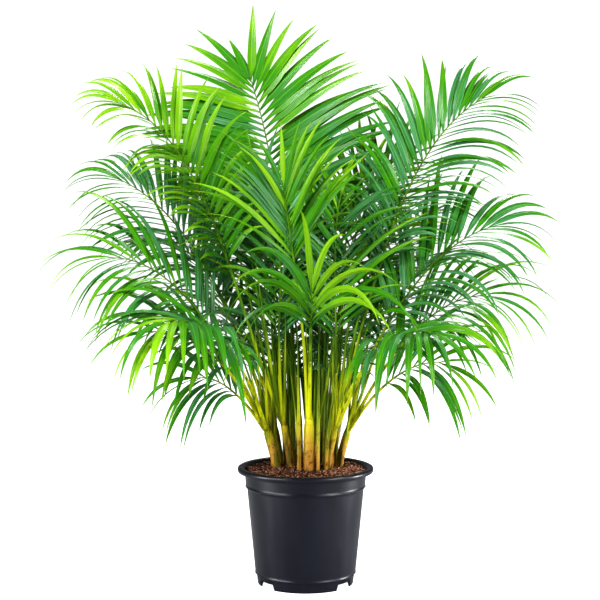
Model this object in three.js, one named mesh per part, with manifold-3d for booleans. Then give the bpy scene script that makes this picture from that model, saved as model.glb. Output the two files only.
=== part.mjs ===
// A potted areca palm: a clump of fourteen canes with thirty-six arching feather fronds, standing
// in potting mix in a black nursery pot. Millimetres, +Z up, the origin on the ground under the pot's axis.
// The front of the plant faces -Y.

import * as THREE from 'three';
import { mergeVertices } from 'three/addons/utils/BufferGeometryUtils.js';
import Module from 'manifold-3d';

const wasm = await Module();
wasm.setup();

// ---- Driving sizes -------------------------------------------------------------------------------

const RIM_RADIUS = 121.5;
const POT_HEIGHT = 210;
const RIM_HEIGHT = 9;
const WALL = 2;
const BAND_RADIUS = 109; // outside of the wall just under the rim
const BAND_FOOT = 175; // height of the step under the upper band
const BODY_RADIUS = 104.5; // outside of the wall just under that step
const HEEL_RADIUS = 90; // outside of the wall just above the foot
const FOOT_HEIGHT = 18;
const FOOT_RADIUS = 85.5;
const FLOOR_HEIGHT = 12; // underside of the pot's floor
const POT_SIDES = 32;

const NOTCH_ANGLES = [-143, -37, 37, 143]; // from +X, so two notches flank the front and two the back
const NOTCH_WIDTH = 34;
const NOTCH_HEIGHT = 10;
const DRAIN_SIZE = 12;
const DRAIN_RADIUS = 70;

const SOIL_TOP = 205;
const SOIL_LUMP = 1.2;
const SOIL_RINGS = [72, 36];
const ROOT_DEPTH = 42;
const GAP = 0.4; // kept between pieces that touch

const CANE_SIDES = 6;
const STALK_SIDES = 4;
const START_SHARE = 0.8; // of a cane's length, where its stalks begin inside it
const RISING_HANDLE = 0.45; // of the span from a stalk's start to its frond's tip
const ARCHING_HANDLE = 0.25;
const STALK_RADIUS = 5.4; // of a leaf stalk where it leaves its cane
const NECK_RADIUS = 2.9; // where the stalk passes into the blade
const RACHIS_END_RADIUS = 1.5;
const STALK_SHARE = 0.46; // of a frond's length that bears no leaflets
const END_ANGLE = 13; // degrees between the last leaflets and the rachis
const SKYWARD = 1.4; // how strongly leaflets turn their faces from the frond's own face to the sky
const TWIST = 12; // degrees that a leaflet's front margin turns down

const LEAFLET_WIDTH = 22;
const LEAFLET_RIDGE = 2.2; // height of the folded midrib
const LEAFLET_ROOT = 3.4; // length of rachis that a leaflet grows from
const LEAFLET_SPACING = 26;
const FEWEST_PAIRS = 5;
const LEAFLET_STATIONS = [0, 0.27, 0.62, 1]; // along a leaflet, where it bends
const LEAFLET_WIDTHS = [0.11, 1, 0.8, 0]; // its share of the full width there
const CLEARANCE = 0.7; // added to a leaflet's section while looking for a free place
const TOUCHING = 0.00001; // cubic millimetres that leaflets of one frond may share

// Each cane: its foot on the soil, its diameter, the height where its stalks part and its outward lean.
const CANES = [
  { foot: [6, -21], diameter: 19, height: 118, lean: 2 },
  { foot: [-46, 8], diameter: 15, height: 96, lean: 19 },
  { foot: [-22, 14], diameter: 12.5, height: 104, lean: 15 },
  { foot: [34, -7], diameter: 12.5, height: 100, lean: 14 },
  { foot: [54, 14], diameter: 13, height: 96, lean: 19 },
  { foot: [-10, 40], diameter: 12, height: 120, lean: 6 },
  { foot: [20, 36], diameter: 12, height: 110, lean: 8 },
  { foot: [-42, 46], diameter: 11.5, height: 92, lean: 17 },
  { foot: [46, 50], diameter: 11.5, height: 96, lean: 17 },
  { foot: [3, 68], diameter: 12.5, height: 100, lean: 14 },
  { foot: [-30, 32], diameter: 10, height: 88, lean: 10 },
  { foot: [37, 24], diameter: 10, height: 90, lean: 10 },
  { foot: [-22, 64], diameter: 10, height: 86, lean: 10 },
  { foot: [27, 62], diameter: 10, height: 88, lean: 11 },
];

// Each frond: the cane that bears it, how far its stalk leans from the vertical as it leaves, where the
// rachis ends, how steeply it still rises there (below zero it hangs), how far its upper face is turned
// from the sky to the front, how far its two rows of leaflets are raised into a V, how wide they stand
// open from the rachis, its longest leaflet, how strongly the leaflets droop and the share of its blade
// that bears none at its foot.
const FROND_KEYS = ['cane', 'lean', 'tip', 'rise', 'turn', 'lift', 'fan', 'leaflet', 'droop', 'bare'];
const FRONDS = [
  [5, 5, [-102, 130, 917], 66, 85, 14, 63, 255, 0.5, 0],
  [2, 20, [-328, -40, 855], 18, 30, 30, 42, 175, 1.3, 0],
  [3, 14, [318, 20, 867], 28, 38, 16, 42, 195, 1.2, 0],
  [2, 24, [-332, 40, 721], 24, 36, 16, 42, 205, 1.4, 0],
  [1, 24, [-331, -90, 586], 0, 32, 16, 42, 235, 1.6, 0],
  [3, 22, [326, -40, 639], 16, 36, 24, 42, 215, 1.4, 0],
  [4, 26, [304, -90, 521], 2, 32, 18, 42, 240, 1.6, 0],
  [4, 30, [238, -60, 401], -8, 32, 18, 46, 232, 1.6, 0],
  [1, 28, [-258, -120, 461], -8, 32, 18, 46, 235, 1.7, 0],
  [1, 32, [-192, -30, 371], -12, 32, 18, 46, 200, 1.7, 0],
  [0, 2, [-38, -80, 709], 80, 80, 14, 34, 225, 0.75, 0.4],
  [0, 4, [30, -122, 531], 78, 90, 20, 34, 280, 2.1, 0.45],
  [10, 10, [-112, 65, 731], 42, 50, 14, 44, 205, 0.9, 0],
  [11, 9, [122, 75, 744], 44, 50, 14, 44, 205, 0.9, 0],
  [6, 10, [170, 100, 759], 40, 50, 14, 44, 205, 0.9, 0],
  [1, 24, [-225, -246, 489], -6, 20, 14, 44, 230, 1.7, 0],
  [3, 24, [205, -253, 471], -6, 20, 14, 44, 225, 1.7, 0],
  [4, 24, [250, 130, 579], 2, 0, 14, 46, 205, 1.3, 0],
  [5, 14, [-150, 222, 699], 16, 0, 14, 46, 210, 1.1, 0],
  [6, 14, [50, 240, 719], 14, 0, 14, 46, 215, 1.1, 0],
  [7, 24, [-275, 170, 609], 0, 0, 14, 46, 205, 1.3, 0],
  [7, 28, [-190, 225, 449], -14, 0, 14, 46, 190, 1.4, 0],
  [8, 22, [240, 210, 664], 10, 0, 14, 46, 210, 1.2, 0],
  [8, 28, [165, 230, 445], -14, 0, 14, 46, 190, 1.4, 0],
  [9, 20, [-60, 245, 594], -4, 0, 14, 46, 200, 1.3, 0],
  [9, 22, [95, 243, 514], -10, 0, 14, 46, 195, 1.4, 0],
  [9, 28, [0, 235, 409], -18, 0, 14, 46, 185, 1.4, 0],
  [3, 5, [64, 10, 699], 64, 60, 14, 42, 185, 0.9, 0.2],
  [2, 8, [-66, 10, 664], 60, 60, 14, 42, 185, 1, 0.2],
  [10, 9, [-128, 30, 659], 42, 50, 14, 44, 180, 1.1, 0],
  [11, 10, [118, 30, 664], 42, 50, 14, 44, 180, 1.1, 0],
  [12, 8, [-26, 119, 644], 37, 10, 14, 48, 180, 1.2, 0],
  [13, 8, [70, 130, 584], 25, 0, 14, 48, 180, 1.3, 0],
  [10, 13, [-182, -6, 500], 3, 25, 14, 44, 175, 1.4, 0],
  [11, 16, [160, 0, 499], 5, 25, 14, 44, 175, 1.4, 0],
  [12, 14, [-100, 170, 509], 0, 0, 14, 44, 175, 1.4, 0],
].map((row) => Object.fromEntries(FROND_KEYS.map((key, index) => [key, row[index]])));

// ---- Small tools ---------------------------------------------------------------------------------

const UP = new THREE.Vector3(0, 0, 1);
const SIDEWAYS = new THREE.Vector3(1, 0, 0);
const radians = THREE.MathUtils.degToRad;
const lerp = THREE.MathUtils.lerp;

// A draw between -1 and 1 that is the same every time for the same seed.
function draw(seed) {
  const x = Math.sin(seed * 127.1 + 311.7) * 43758.5453;
  return 2 * (x - Math.floor(x)) - 1;
}

function solidOf(geometry) {
  const bare = geometry.clone();
  bare.deleteAttribute('normal');
  bare.deleteAttribute('uv');
  const merged = mergeVertices(bare, 1e-4);
  return new wasm.Manifold(new wasm.Mesh({
    numProp: 3,
    vertProperties: merged.attributes.position.array,
    triVerts: new Uint32Array(merged.index.array),
  }));
}

// A solid from the triangles of its skin, each three points.
function skinned(triangles) {
  return solidOf(new THREE.BufferGeometry().setFromPoints(triangles.flat()));
}

function geometryOf(solid) {
  const mesh = solid.getMesh();
  const geometry = new THREE.BufferGeometry();
  geometry.setAttribute('position', new THREE.BufferAttribute(new Float32Array(mesh.vertProperties), 3));
  geometry.setIndex(new THREE.BufferAttribute(new Uint32Array(mesh.triVerts), 1));
  geometry.computeVertexNormals();
  return geometry;
}

// Carries each vertex of a unit cylinder or cone, which stands along Y, to where place() puts it.
function swept(unit, place) {
  const position = unit.getAttribute('position');
  for (let i = 0; i < position.count; i++) {
    const point = place(position.getY(i) + 0.5, position.getX(i), position.getZ(i));
    position.setXYZ(i, point.x, point.y, point.z);
  }
  return unit;
}

// A closed round bar along part of a curve, its radius given by radiusAt(0 to 1). Its flats face the
// given direction as nearly as the curve allows.
function bar(curve, from, to, radiusAt, sides, rings, facing) {
  const unit = new THREE.CylinderGeometry(1, 1, 1, sides, rings, false, Math.PI / sides);
  return swept(unit, (t, x, z) => {
    const u = lerp(from, to, t);
    const along = curve.getTangentAt(u);
    const across = facing.clone().addScaledVector(along, -along.dot(facing)).normalize();
    const radius = radiusAt(t);
    return curve.getPointAt(u)
      .addScaledVector(across, x * radius)
      .addScaledVector(new THREE.Vector3().crossVectors(across, along), z * radius);
  });
}

function piece(name, solid, material) {
  const mesh = new THREE.Mesh(geometryOf(solid), material);
  mesh.name = name;
  return mesh;
}

// ---- Materials -----------------------------------------------------------------------------------

const potPlastic = new THREE.MeshStandardMaterial({ color: 0x1d1f24, roughness: 0.45, metalness: 0 });
const pottingMix = new THREE.MeshStandardMaterial({ color: 0x4a2c22, roughness: 0.95, metalness: 0 });
const caneSkin = new THREE.MeshStandardMaterial({ color: 0xa8a81c, roughness: 0.5, metalness: 0 });
const leafSkin = new THREE.MeshStandardMaterial({ color: 0x2f7d1a, roughness: 0.42, metalness: 0 });

// ---- Pot -----------------------------------------------------------------------------------------

// Turns a profile of [radius, height] points, which starts and ends on the axis, round the Z axis.
function turned(profile, sides) {
  const points = profile.map(([radius, height]) => new THREE.Vector2(radius, height));
  return new THREE.LatheGeometry(points, sides).rotateX(Math.PI / 2);
}

const FLOOR_TOP = FLOOR_HEIGHT + WALL;
const RIM_BASE = POT_HEIGHT - RIM_HEIGHT;

// The inside of the wall from the floor up, which the potting mix follows.
const INNER_WALL = [
  [HEEL_RADIUS - 2.5 * WALL, FLOOR_TOP],
  [HEEL_RADIUS - WALL, FOOT_HEIGHT + 2 * WALL],
  [BODY_RADIUS - WALL, BAND_FOOT - 3],
  [BAND_RADIUS - 2 * WALL, BAND_FOOT],
  [BAND_RADIUS - WALL, RIM_BASE],
];

function pot() {
  const shell = solidOf(turned([
    [0, FLOOR_HEIGHT],
    [FOOT_RADIUS - 2, FLOOR_HEIGHT],
    [FOOT_RADIUS - 2.6, 0],
    [FOOT_RADIUS, 0],
    [HEEL_RADIUS - 2, FOOT_HEIGHT],
    [HEEL_RADIUS, FOOT_HEIGHT + 2],
    [BODY_RADIUS, BAND_FOOT - 3],
    [BAND_RADIUS - 2.5, BAND_FOOT],
    [BAND_RADIUS, RIM_BASE],
    [RIM_RADIUS - 1, RIM_BASE],
    [RIM_RADIUS, RIM_BASE + 1.5],
    [RIM_RADIUS, POT_HEIGHT - 3],
    [RIM_RADIUS - 3, POT_HEIGHT],
    [RIM_RADIUS - 8.5, POT_HEIGHT],
    [BAND_RADIUS, POT_HEIGHT - 4],
    ...INNER_WALL.toReversed(),
    [0, FLOOR_TOP],
  ], POT_SIDES));
  return NOTCH_ANGLES.reduce((cut, angle) => cut.subtract(notch(angle)).subtract(drain(angle)), shell);
}

// A tapered opening through the foot ring, wider at the ground.
function notch(angle) {
  const half = NOTCH_WIDTH / 2;
  const outline = new THREE.Shape([
    new THREE.Vector2(-half - 1, -1),
    new THREE.Vector2(half + 1, -1),
    new THREE.Vector2(half - 3, NOTCH_HEIGHT),
    new THREE.Vector2(-half + 3, NOTCH_HEIGHT),
  ]);
  const cutter = new THREE.ExtrudeGeometry(outline, { depth: FOOT_RADIUS / 3, bevelEnabled: false });
  return solidOf(cutter.rotateX(Math.PI / 2).rotateZ(Math.PI / 2)
    .translate(FOOT_RADIUS * 0.8, 0, 0).rotateZ(radians(angle)));
}

// A square drain hole through the floor, behind a notch.
function drain(angle) {
  const cutter = new THREE.BoxGeometry(DRAIN_SIZE, DRAIN_SIZE, FLOOR_HEIGHT);
  return solidOf(cutter.translate(DRAIN_RADIUS, 0, FLOOR_TOP - WALL / 2).rotateZ(radians(angle)));
}

// ---- Potting mix ---------------------------------------------------------------------------------

// Height of the uneven top of the mix: a slight crown with lumps.
function soilHeight(x, y) {
  const radius = Math.hypot(x, y);
  const lumps = Math.sin(x * 0.21 + 1.3) * Math.cos(y * 0.17) + 0.6 * Math.sin(x * 0.09 - y * 0.26);
  return SOIL_TOP + 2 * (1 - (radius / BAND_RADIUS) ** 2) + SOIL_LUMP * lumps;
}

function pottingMixBody(holes) {
  const wall = INNER_WALL.map(([radius, height]) => [radius - GAP, height + GAP]);
  const edge = [wall.at(-1)[0], SOIL_TOP - 2];
  const body = turned([
    [0, wall[0][1]],
    ...wall.slice(0, -1),
    edge,
    ...SOIL_RINGS.map((radius) => [radius, SOIL_TOP]),
    [0, SOIL_TOP],
  ], POT_SIDES);
  const position = body.getAttribute('position');
  for (let i = 0; i < position.count; i++) {
    if (position.getZ(i) < SOIL_TOP - 1) continue;
    position.setZ(i, soilHeight(position.getX(i), position.getY(i)));
  }
  return holes.reduce((filled, hole) => filled.subtract(hole), solidOf(body));
}

// ---- Canes and leaf stalks -----------------------------------------------------------------------

// The way a stem heads when it leans from the vertical towards a heading in plan.
function leaning(lean, heading) {
  return new THREE.Vector3(
    Math.sin(lean) * Math.cos(heading),
    Math.sin(lean) * Math.sin(heading),
    Math.cos(lean),
  );
}

// From below the soil to the place where the stalks part, curving outwards a little.
function caneCurve({ foot: [x, y], height, lean }, extra = 0) {
  const outward = Math.atan2(y, x);
  const root = new THREE.Vector3(x, y, SOIL_TOP - ROOT_DEPTH - extra);
  const soilLine = new THREE.Vector3(x, y, SOIL_TOP);
  const top = soilLine.clone().addScaledVector(leaning(radians(lean), outward), height);
  return new THREE.QuadraticBezierCurve3(root, soilLine, top);
}

// Thickest just above the soil, and drawn in at the top between its stalks.
function caneRadius(cane, t, extra = 0) {
  const top = THREE.MathUtils.smoothstep(t, 0.72, 1);
  return (cane.diameter / 2) * lerp(1.04 - 0.1 * t, 0.36, top) + extra;
}

function caneBar(cane, extra = 0) {
  const radiusAt = (t) => caneRadius(cane, t, extra);
  return solidOf(bar(caneCurve(cane, extra), 0, 1, radiusAt, CANE_SIDES, 4, SIDEWAYS));
}

// The line of a whole frond, from inside its cane to the end of its rachis.
function frondCurve({ cane, lean, tip, rise }) {
  const start = caneCurve(CANES[cane]).getPointAt(START_SHARE);
  const end = new THREE.Vector3(...tip);
  const heading = Math.atan2(end.y - start.y, end.x - start.x);
  start.addScaledVector(leaning(Math.PI / 2, heading), CANES[cane].diameter * 0.2);
  const span = start.distanceTo(end);
  return new THREE.CubicBezierCurve3(
    start,
    start.clone().addScaledVector(leaning(radians(lean), heading), span * RISING_HANDLE),
    end.clone().addScaledVector(leaning(radians(90 - rise), heading), -span * ARCHING_HANDLE),
    end,
  );
}

function stalkBar({ cane, curve }) {
  const thickest = Math.min(STALK_RADIUS, CANES[cane].diameter * 0.38);
  const radiusAt = (t) => lerp(thickest, NECK_RADIUS, t ** 0.7);
  return solidOf(bar(curve, 0, STALK_SHARE, radiusAt, STALK_SIDES, 3, SIDEWAYS));
}

// ---- Leaflets ------------------------------------------------------------------------------------

// Where the upper face of a frond looks: up, or turned towards the front.
function upperFace({ turn }) {
  return new THREE.Vector3(0, -Math.sin(radians(turn)), Math.cos(radians(turn)));
}

// Directions at a point of a frond: along it, across to its right and out of its upper face.
function frondFrame(frond, u) {
  const along = frond.curve.getTangentAt(u);
  const across = new THREE.Vector3().crossVectors(along, upperFace(frond)).normalize();
  const face = new THREE.Vector3().crossVectors(across, along);
  return { along, across, face };
}

// Leaflets are longest a little below the middle of the blade.
function lengthShare(t) {
  return t < 0.45 ? lerp(0.52, 1, t / 0.45) : lerp(1, 0.58, ((t - 0.45) / 0.55) ** 1.4);
}

// A leaflet's centre line and blade directions at its stations, drooping under its own weight.
function leafletLine({ root, heading, width, length, droop }) {
  const line = [{ point: root.clone(), heading, width }];
  for (let i = 1; i < LEAFLET_STATIONS.length; i++) {
    const last = line.at(-1);
    const share = LEAFLET_STATIONS[i] - LEAFLET_STATIONS[i - 1];
    const next = last.heading.clone().addScaledVector(UP, -droop * share).normalize();
    const turn = new THREE.Quaternion().setFromUnitVectors(last.heading, next);
    line.push({
      point: last.point.clone().addScaledVector(next, length * share),
      heading: next,
      width: last.width.clone().applyQuaternion(turn),
    });
  }
  return line;
}

// The sections of one leaflet beyond its root, each [rear margin, front margin, ridge], and its tip.
function leafletSections(plan, extra = 0) {
  return leafletLine(plan).slice(1).map(({ point, heading, width }, index, line) => {
    if (index === line.length - 1) return [point];
    const above = new THREE.Vector3().crossVectors(heading, width).multiplyScalar(plan.side);
    const half = plan.halfWidth * LEAFLET_WIDTHS[index + 1] + 2 * extra;
    const ridge = LEAFLET_RIDGE * (1 - 0.35 * LEAFLET_STATIONS[index + 1]) + 2 * extra;
    return [
      point.clone().addScaledVector(width, -half).addScaledVector(above, -extra),
      point.clone().addScaledVector(width, half).addScaledVector(above, -extra),
      point.clone().addScaledVector(above, ridge),
    ];
  });
}

// The triangles round one leaflet, from the corners of its root to its tip.
function leafletSkin(root, sections, side) {
  const outlines = [root, ...sections];
  return outlines.slice(1).flatMap((outer, index) => {
    const inner = outlines[index];
    return inner.flatMap((corner, i) => {
      const next = (i + 1) % 3;
      if (outer.length === 1) return [[corner, inner[next], outer[0]]];
      return [[corner, inner[next], outer[next]], [corner, outer[next], outer[i]]];
    });
  }).map((triangle) => (side > 0 ? triangle : triangle.toReversed()));
}

// A leaflet closed at its root, to look for what is in its way.
function leafletBlade(root, plan, extra = 0) {
  const cap = plan.side > 0 ? root.toReversed() : root;
  return skinned([cap, ...leafletSkin(root, leafletSections(plan, extra), plan.side)]);
}

// Ways to bend a leaflet clear of its neighbours, tried in turn, as changes to its angles and length.
const BENDS = [
  { forward: 0, raise: 0, size: 1 },
  { forward: 7, raise: 0, size: 1 },
  { forward: -7, raise: 0, size: 1 },
  { forward: 0, raise: 12, size: 1 },
  { forward: 0, raise: -12, size: 1 },
  { forward: 12, raise: 10, size: 0.95 },
  { forward: -12, raise: -10, size: 0.95 },
  { forward: 12, raise: -16, size: 0.9 },
  { forward: -12, raise: 18, size: 0.9 },
  { forward: 5, raise: 24, size: 0.8 },
  { forward: 16, raise: 0, size: 0.7 },
  { forward: -5, raise: 5, size: 0.55 },
];

// One leaflet's root, heading, blade direction, length and droop, before it is bent clear.
function leafletPlan(frond, t, side, seed, bend) {
  const u = lerp(STALK_SHARE, 1, t);
  const { along, across, face } = frondFrame(frond, u);
  const forward = radians(lerp(frond.fan, END_ANGLE, t ** 8) + 2 * draw(seed) - bend.forward);
  const raise = radians(frond.lift * lerp(1.2, 0.6, t) + 4 * draw(seed + 0.31) + bend.raise);
  const sideways = across.clone().multiplyScalar(side * Math.cos(raise))
    .addScaledVector(face, Math.sin(raise));
  const heading = along.clone().multiplyScalar(Math.cos(forward))
    .addScaledVector(sideways, Math.sin(forward)).normalize();
  const above = face.clone().addScaledVector(UP, SKYWARD * Math.cos(radians(frond.turn)));
  above.addScaledVector(heading, -above.dot(heading)).normalize();
  return {
    side,
    root: frond.curve.getPointAt(u),
    heading,
    width: above.cross(heading).multiplyScalar(side).applyAxisAngle(heading, -radians(TWIST) * side),
    halfWidth: (LEAFLET_WIDTH / 2) * lerp(0.7, 1, lengthShare(t)),
    length: frond.leaflet * lengthShare(t) * bend.size * (1 + 0.05 * draw(seed + 0.57)),
    droop: frond.droop * (1 + 0.15 * draw(seed + 0.83)),
  };
}

const boxed = (solid) => ({ solid, box: solid.boundingBox() });

// Bounding boxes first, then the solids themselves.
function touches(a, b, allowed) {
  for (let axis = 0; axis < 3; axis++) {
    if (a.box.max[axis] < b.box.min[axis] || b.box.max[axis] < a.box.min[axis]) return false;
  }
  return a.solid.intersect(b.solid).volume() > allowed;
}

// The three corners of the rachis at a share of the blade's length.
function rachisCorners(frond, t) {
  const u = lerp(STALK_SHARE + GAP / frond.curve.getLength(), 1, t);
  const { across, face } = frondFrame(frond, u);
  const radius = lerp(NECK_RADIUS, RACHIS_END_RADIUS, t);
  const corner = (x, z) => frond.curve.getPointAt(u)
    .addScaledVector(across, x * radius)
    .addScaledVector(face, z * radius);
  return { top: corner(0, 1), right: corner(0.87, -0.5), left: corner(-0.87, -0.5) };
}

// The triangles round the rachis between two sets of corners: first the two that a leaflet can grow from.
function rachisSkin(a, b) {
  return {
    flats: { right: [a.top, a.right, b.right], left: [a.left, a.top, b.left] },
    rest: [
      [a.top, b.right, b.top],
      [a.top, b.top, b.left],
      [a.right, a.left, b.left],
      [a.right, b.left, b.right],
    ],
  };
}

// Whether an edge of the first triangle runs through the second, for triangles without a shared corner.
function pierces(first, second) {
  const plane = new THREE.Plane().setFromCoplanarPoints(...second);
  return first.some((from, i) => {
    const to = first[(i + 1) % 3];
    const [before, after] = [plane.distanceToPoint(from), plane.distanceToPoint(to)];
    if (before * after >= 0) return false;
    const crossing = from.clone().lerp(to, before / (before - after));
    return THREE.Triangle.containsPoint(crossing, ...second);
  });
}

// Whether two skins, or the parts of one skin, run through each other anywhere.
function tangled(skin, other) {
  return skin.some((first) => {
    const reach = new THREE.Box3().setFromPoints(first);
    return other.some((second) => second.every((corner) => !first.some((own) => own.equals(corner)))
      && reach.intersectsBox(new THREE.Box3().setFromPoints(second))
      && (pierces(first, second) || pierces(second, first)));
  });
}

// Where the pairs of leaflets sit along the blade, and the corners of the rachis before and after each.
function rachisPlan(frond) {
  const blade = frond.curve.getLength() * (1 - STALK_SHARE);
  const pairs = Math.max(FEWEST_PAIRS, Math.round(blade * (1 - frond.bare) / LEAFLET_SPACING));
  const rootShare = LEAFLET_ROOT / blade / 2;
  const stations = Array.from({ length: pairs }, (_, pair) => lerp(frond.bare, 1, (pair + 0.55) / pairs));
  const leafless = frond.bare ? [frond.bare / 3, frond.bare / 1.5] : [];
  const shares = [0, ...leafless, ...stations.flatMap((t) => [t - rootShare, t + rootShare]), 1];
  return { stations, leafless: leafless.length, corners: shares.map((t) => rachisCorners(frond, t)) };
}

// The closed skin of a rachis before any leaflet grows from it.
function bareRachis(corners) {
  const [first, last] = [corners[0], corners.at(-1)];
  return [
    [first.right, first.top, first.left],
    [last.top, last.right, last.left],
    ...corners.slice(1).flatMap((b, index) => {
      const { flats, rest } = rachisSkin(corners[index], b);
      return [flats.right, flats.left, ...rest];
    }),
  ];
}

// The skin of a whole frond. Each leaflet grows from its own flat of the rachis, bent clear of everything
// in the way and of the leaflets before it, or is left out where nothing is clear.
function frondSkin(frond, inTheWay) {
  const { stations, leafless, corners } = frond.plan;
  const [first, last] = [corners[0], corners.at(-1)];
  const skin = [[first.right, first.top, first.left], [last.top, last.right, last.left]];
  const grown = [];
  const blades = [];
  corners.slice(1).forEach((b, index) => {
    const a = corners[index];
    const { flats, rest } = rachisSkin(a, b);
    skin.push(...rest);
    for (const side of [1, -1]) {
      const flat = side > 0 ? flats.right : flats.left;
      const root = side > 0 ? [a.right, b.right, a.top] : [a.left, b.left, a.top];
      const pair = (index - 1 - leafless) / 2;
      const found = pair in stations && freeLeaflet(frond, stations[pair], side, pair, root, grown, inTheWay);
      if (!found) {
        skin.push(flat);
        continue;
      }
      skin.push(...leafletSkin(root, leafletSections(found.plan), side));
      grown.push(found.leaflet);
      blades.push(found.leaflet);
    }
  });
  return { skin, blades };
}

// The first bend of a leaflet that is clear.
function freeLeaflet(frond, t, side, pair, root, grown, inTheWay) {
  const seed = frond.node * 60 + 2 * pair + (side + 1) / 2;
  for (const bend of BENDS) {
    const plan = leafletPlan(frond, t, side, seed, bend);
    const leaflet = boxed(leafletBlade(root, plan));
    const skin = leafletSkin(root, leafletSections(plan), side);
    if (tangled(skin, [...skin, ...frond.bare])) continue;
    if (grown.some((other) => touches(leaflet, other, TOUCHING))) continue;
    const wide = boxed(leafletBlade(root, plan, CLEARANCE));
    if (!inTheWay.some((other) => touches(wide, other, 0))) return { plan, leaflet };
  }
  return null;
}

// ---- The whole plant -----------------------------------------------------------------------------

const palm = new THREE.Group();
const potSolid = pot();
palm.add(piece('pot', potSolid, potPlastic));
palm.add(piece('potting_mix', pottingMixBody(CANES.map((cane) => caneBar(cane, GAP))), pottingMix));

const fronds = FRONDS
  .map((frond, node) => ({ ...frond, node, curve: frondCurve(frond) }))
  .map((frond) => ({ ...frond, plan: rachisPlan(frond) }))
  .map((frond) => ({ ...frond, bare: bareRachis(frond.plan.corners) }));
const rachises = fronds.map(({ bare }) => boxed(skinned(bare)));
const two = (number) => String(number + 1).padStart(2, '0');

const caneSolids = CANES.map((cane, index) => {
  const stalks = fronds.filter((frond) => frond.cane === index).map(stalkBar);
  return wasm.Manifold.union([caneBar(cane), ...stalks]);
});
caneSolids.forEach((solid, index) => palm.add(piece(`cane_${two(index)}`, solid, caneSkin)));

const stems = [boxed(potSolid), ...caneSolids.map(boxed)];
const grown = [];
fronds.forEach((frond, index) => {
  const others = [...stems, ...rachises.toSpliced(index, 1), ...grown];
  const { skin, blades } = frondSkin(frond, others);
  grown.push(...blades);
  palm.add(piece(`frond_${two(index)}`, skinned(skin), leafSkin));
});

export default palm;
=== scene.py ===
"""A potted areca palm: a clump of canes with arching feather fronds in a black nursery pot.

Metres, +Z up, the origin on the ground under the pot's axis and the front of the plant towards -Y.
"""

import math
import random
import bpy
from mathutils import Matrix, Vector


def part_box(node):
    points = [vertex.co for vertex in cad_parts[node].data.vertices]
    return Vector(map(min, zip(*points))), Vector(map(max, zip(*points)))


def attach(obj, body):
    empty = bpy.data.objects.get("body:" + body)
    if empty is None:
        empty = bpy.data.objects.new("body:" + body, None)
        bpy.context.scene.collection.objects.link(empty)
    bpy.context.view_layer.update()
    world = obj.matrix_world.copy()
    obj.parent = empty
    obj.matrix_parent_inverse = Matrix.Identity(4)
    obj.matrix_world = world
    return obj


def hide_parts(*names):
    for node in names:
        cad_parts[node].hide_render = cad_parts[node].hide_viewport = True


bl_info = {
    "name": "Potted Areca Palm",
    "version": (1, 0, 0),
    "blender": (4, 5, 0),
    "location": "View3D > Sidebar > Palm",
    "description": "Builds a potted areca palm over its solid frame",
    "category": "Object",
}

import bmesh
import bpy
from bpy.props import FloatProperty, FloatVectorProperty, IntProperty, PointerProperty
from mathutils import Matrix, Quaternion, Vector, noise
from mathutils.bvhtree import BVHTree
from mathutils.geometry import interpolate_bezier

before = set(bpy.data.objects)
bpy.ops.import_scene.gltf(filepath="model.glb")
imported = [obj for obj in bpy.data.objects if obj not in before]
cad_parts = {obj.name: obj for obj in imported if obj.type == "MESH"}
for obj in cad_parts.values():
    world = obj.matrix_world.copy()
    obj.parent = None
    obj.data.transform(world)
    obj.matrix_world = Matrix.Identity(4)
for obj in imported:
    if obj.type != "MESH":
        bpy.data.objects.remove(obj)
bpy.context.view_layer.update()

# ---- Sizes -------------------------------------------------------------------

MM = 0.001
UP = Vector((0, 0, 1))

POT_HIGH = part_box("pot")[1]
RIM_RADIUS = POT_HIGH[0]
POT_HEIGHT = POT_HIGH[2]
RIM_DEPTH = 9 * MM
WALL = 2 * MM
BAND_RADIUS = RIM_RADIUS - 12.5 * MM  # outside of the wall just under the rim
BAND_FOOT = POT_HEIGHT - 35 * MM  # height of the step under the upper band
BODY_RADIUS = 104.5 * MM  # outside of the wall just under that step
HEEL_RADIUS = 90 * MM  # outside of the wall just above the foot
FOOT_HEIGHT = 18 * MM
FOOT_RADIUS = 85.5 * MM
FLOOR_HEIGHT = 12 * MM  # underside of the pot's floor
POT_STEPS = 144  # steps of the lathe round the pot
NOTCHES = (-143, -37, 37, 143)  # degrees from +X, as on the solid pot
NOTCH_WIDTH = 26.0  # degrees, measured at the ground
NOTCH_HEIGHT = 10 * MM
NOTCH_SLOPE = 1.6  # degrees from the edge of a notch to its full height
FLOOR_RING = 58 * MM  # radius of a line round the middle of the floor
BRACE = 4 * MM  # from the end of a straight wall to the line that keeps its shading flat

SOIL_TOP = 205 * MM
SOIL_RADIUS = BAND_RADIUS - WALL - 0.3 * MM
SOIL_RINGS = 44  # rings of the mix's top, from the wall to its middle
MIX_FLOOR_RADIUS = 81 * MM
MIX_FLOOR_GAP = 0.4 * MM  # between the mix and the floor
MIX_GAP = 0.5 * MM  # between the mix and the inside of the wall
CHIP_MARGIN = 2.2 * MM  # from the middle of the outermost chips to the edge of the mix
ROOT_DEPTH = 42 * MM

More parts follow.
